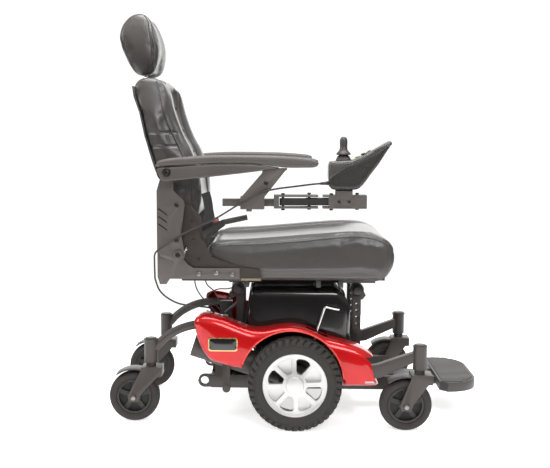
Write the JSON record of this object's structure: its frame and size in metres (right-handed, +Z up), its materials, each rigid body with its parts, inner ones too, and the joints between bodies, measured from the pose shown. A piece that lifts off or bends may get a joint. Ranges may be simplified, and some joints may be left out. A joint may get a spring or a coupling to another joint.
{
  "type": "power wheelchair",
  "caption": "Compact centre-wheel-drive power wheelchair with a padded captain's seat, headrest, swing-away joystick, flip-up armrests and footplate, and sprung swivel casters.",
  "frame": {"origin": "on the floor, under the middle of the drive axle, which is also the bottom centre of the bounding box", "axes": "+X forward, +Y to the user's left, +Z up; left and right are the user's"},
  "size_m": [1.114, 0.6012, 1.225],
  "materials": {
    "frame_paint": "satin",
    "plate_paint": "satin",
    "battery_case": "matte",
    "black_gloss": "gloss",
    "black_plastic": "matte",
    "grey_plastic": "satin",
    "motor_casting": "satin",
    "shroud_red": "gloss",
    "chrome": "polished",
    "tyre_rubber": "matte",
    "caster_rubber": "matte",
    "rim_silver": "satin",
    "vinyl": "satin",
    "webbing": "matte",
    "lead_rubber": "matte",
    "arm_plastic": "satin"
  },
  "bodies": {
    "base": {"base_frame": "frame_paint", "batteries": "battery_case", "battery_cover": "black_gloss", "power_module": "black_plastic", "shroud_right": "shroud_red", "shroud_left": "shroud_red", "gearmotor_right": "motor_casting", "gearmotor_left": "motor_casting", "seat_posts": "frame_paint", "footplate_bracket": "frame_paint", "seat_frame": "frame_paint", "seat_pan": "black_plastic", "seat_cushion": "vinyl", "seat_side_plates": "plate_paint", "lap_belt": "webbing", "lead_base": "lead_rubber"},
    "drive_wheel_right": {"drive_rim_right": "rim_silver", "drive_tyre_right": "tyre_rubber"},
    "freewheel_right": {"freewheel_lever_right": "chrome"},
    "drive_wheel_left": {"drive_rim_left": "rim_silver", "drive_tyre_left": "tyre_rubber"},
    "freewheel_left": {"freewheel_lever_left": "chrome"},
    "front_arm_right": {"front_arm_right": "frame_paint"},
    "front_arm_left": {"front_arm_left": "frame_paint"},
    "rear_arm_right": {"rear_arm_right": "frame_paint"},
    "fork_fr": {"caster_fork_fr": "frame_paint"},
    "caster_fr": {"caster_rim_fr": "grey_plastic", "caster_tyre_fr": "caster_rubber"},
    "fork_rr": {"caster_fork_rr": "frame_paint"},
    "caster_rr": {"caster_rim_rr": "grey_plastic", "caster_tyre_rr": "caster_rubber"},
    "rear_arm_left": {"rear_arm_left": "frame_paint"},
    "fork_fl": {"caster_fork_fl": "frame_paint"},
    "caster_fl": {"caster_rim_fl": "grey_plastic", "caster_tyre_fl": "caster_rubber"},
    "fork_rl": {"caster_fork_rl": "frame_paint"},
    "caster_rl": {"caster_rim_rl": "grey_plastic", "caster_tyre_rl": "caster_rubber"},
    "footplate": {"footplate": "grey_plastic"},
    "backrest": {"back_side_plates": "plate_paint", "back_shell": "black_plastic", "back_cushion": "vinyl", "lead_back": "lead_rubber"},
    "recline_lever": {"recline_lever": "black_plastic"},
    "headrest": {"headrest_posts": "chrome", "headrest_cushion": "vinyl"},
    "armrest_right": {"armrest_body_right": "arm_plastic", "armrest_pad_right": "arm_plastic", "joystick_bracket": "plate_paint", "lead_arm": "lead_rubber"},
    "armrest_left": {"armrest_body_left": "arm_plastic", "armrest_pad_left": "arm_plastic"},
    "joystick_slide": {"joystick_tube": "plate_paint"},
    "swing_outer": {"swing_link_outer": "plate_paint", "lead_link": "lead_rubber"},
    "swing_inner": {"swing_link_inner": "plate_paint"},
    "joystick_pod": {"joystick_carrier": "plate_paint", "joystick_housing": "grey_plastic"},
    "stick_gimbal": {"joystick_gimbal": "chrome"},
    "stick": {"joystick_stick": "black_plastic"}
  },
  "joints": [
    {"name": "drive_spin_right", "type": "hinge", "parent": "base", "child": "drive_wheel_right", "pos_m": [0, -0.265, 0.137], "axis": [0, 1, 0], "continuous": true},
    {"name": "freewheel_throw_right", "type": "hinge", "parent": "base", "child": "freewheel_right", "pos_m": [0.02, -0.209, 0.196], "axis": [0, -1, 0], "range_deg": [0, 14]},
    {"name": "drive_spin_left", "type": "hinge", "parent": "base", "child": "drive_wheel_left", "pos_m": [0, 0.265, 0.137], "axis": [0, 1, 0], "continuous": true},
    {"name": "freewheel_throw_left", "type": "hinge", "parent": "base", "child": "freewheel_left", "pos_m": [0.02, 0.209, 0.196], "axis": [0, -1, 0], "range_deg": [0, 14]},
    {"name": "front_suspension_right", "type": "hinge", "parent": "base", "child": "front_arm_right", "pos_m": [0.185, -0.246, 0.166], "axis": [0, -1, 0], "range_deg": [-5, 8], "stiffness_Nm_per_rad": 600, "springref_deg": -1.55},
    {"name": "rear_suspension_right", "type": "hinge", "parent": "base", "child": "rear_arm_right", "pos_m": [-0.22218, -0.192, 0.2907], "axis": [0, 1, 0], "range_deg": [-4, 8], "stiffness_Nm_per_rad": 700, "springref_deg": -2.35},
    {"name": "swivel_fr", "type": "hinge", "parent": "front_arm_right", "child": "fork_fr", "pos_m": [0.363, -0.252, 0.21], "axis": [0, 0, 1], "continuous": true},
    {"name": "caster_spin_fr", "type": "hinge", "parent": "fork_fr", "child": "caster_fr", "pos_m": [0.323, -0.252, 0.076], "axis": [0, 1, 0], "continuous": true},
    {"name": "swivel_rr", "type": "hinge", "parent": "rear_arm_right", "child": "fork_rr", "pos_m": [-0.431, -0.192, 0.21], "axis": [0, 0, 1], "continuous": true},
    {"name": "caster_spin_rr", "type": "hinge", "parent": "fork_rr", "child": "caster_rr", "pos_m": [-0.481, -0.192, 0.076], "axis": [0, 1, 0], "continuous": true},
    {"name": "front_suspension_left", "type": "hinge", "parent": "base", "child": "front_arm_left", "pos_m": [0.185, 0.246, 0.166], "axis": [0, -1, 0], "range_deg": [-5, 8], "stiffness_Nm_per_rad": 600, "springref_deg": -1.55},
    {"name": "rear_suspension_left", "type": "hinge", "parent": "base", "child": "rear_arm_left", "pos_m": [-0.22218, 0.192, 0.2907], "axis": [0, 1, 0], "range_deg": [-4, 8], "stiffness_Nm_per_rad": 700, "springref_deg": -2.35},
    {"name": "swivel_fl", "type": "hinge", "parent": "front_arm_left", "child": "fork_fl", "pos_m": [0.363, 0.252, 0.21], "axis": [0, 0, 1], "continuous": true},
    {"name": "caster_spin_fl", "type": "hinge", "parent": "fork_fl", "child": "caster_fl", "pos_m": [0.323, 0.252, 0.076], "axis": [0, 1, 0], "continuous": true},
    {"name": "swivel_rl", "type": "hinge", "parent": "rear_arm_left", "child": "fork_rl", "pos_m": [-0.431, 0.192, 0.21], "axis": [0, 0, 1], "continuous": true},
    {"name": "caster_spin_rl", "type": "hinge", "parent": "fork_rl", "child": "caster_rl", "pos_m": [-0.481, 0.192, 0.076], "axis": [0, 1, 0], "continuous": true},
    {"name": "footplate_flip", "type": "hinge", "parent": "base", "child": "footplate", "pos_m": [0.428, 0, 0.098], "axis": [0, -1, 0], "range_deg": [0, 95]},
    {"name": "recline", "type": "hinge", "parent": "base", "child": "backrest", "pos_m": [-0.341, 0, 0.511], "axis": [0, -1, 0], "range_deg": [-10, 30], "deforming": ["lead_back"]},
    {"name": "recline_release", "type": "hinge", "parent": "base", "child": "recline_lever", "pos_m": [-0.262, -0.246, 0.57], "axis": [0, -1, 0], "range_deg": [0, 25], "stiffness_Nm_per_rad": 1.5, "springref_deg": -17.19},
    {"name": "headrest_height", "type": "slide", "parent": "backrest", "child": "headrest", "axis": [-0.2588, 0, 0.9659], "range_m": [0, 0.06]},
    {"name": "armrest_flip_right", "type": "hinge", "parent": "backrest", "child": "armrest_right", "pos_m": [-0.367, -0.27, 0.752], "axis": [0, -1, 0], "range_deg": [0, 95], "deforming": ["lead_arm"]},
    {"name": "armrest_flip_left", "type": "hinge", "parent": "backrest", "child": "armrest_left", "pos_m": [-0.367, 0.27, 0.752], "axis": [0, -1, 0], "range_deg": [0, 95]},
    {"name": "joystick_reach", "type": "slide", "parent": "armrest_right", "child": "joystick_slide", "axis": [1, 0, 0], "range_m": [-0.02, 0.05]},
    {"name": "joystick_swing", "type": "hinge", "parent": "joystick_slide", "child": "swing_outer", "pos_m": [-0.037, -0.276, 0.669], "axis": [0, 0, -1], "range_deg": [0, 95], "deforming": ["lead_link"]},
    {"name": "swing_inner_link", "type": "hinge", "parent": "joystick_slide", "child": "swing_inner", "pos_m": [0.038, -0.252, 0.669], "axis": [0, 0, -1], "range_deg": [0, 95]},
    {"name": "swing_pod", "type": "hinge", "parent": "swing_outer", "child": "joystick_pod", "pos_m": [0.1, -0.276, 0.669], "axis": [0, 0, -1], "range_deg": [-95, 0]},
    {"name": "stick_side", "type": "hinge", "parent": "joystick_pod", "child": "stick_gimbal", "pos_m": [0.134, -0.264, 0.786], "axis": [1, 0, 0], "range_deg": [-18, 18], "stiffness_Nm_per_rad": 1},
    {"name": "stick_forward", "type": "hinge", "parent": "stick_gimbal", "child": "stick", "pos_m": [0.134, -0.264, 0.786], "axis": [0, 1, 0], "range_deg": [-18, 18], "stiffness_Nm_per_rad": 1}
  ],
  "couplings": [
    {"joint": "swing_inner_link", "follows": "joystick_swing", "ratio": 1},
    {"joint": "swing_pod", "follows": "joystick_swing", "ratio": -1}
  ]
}
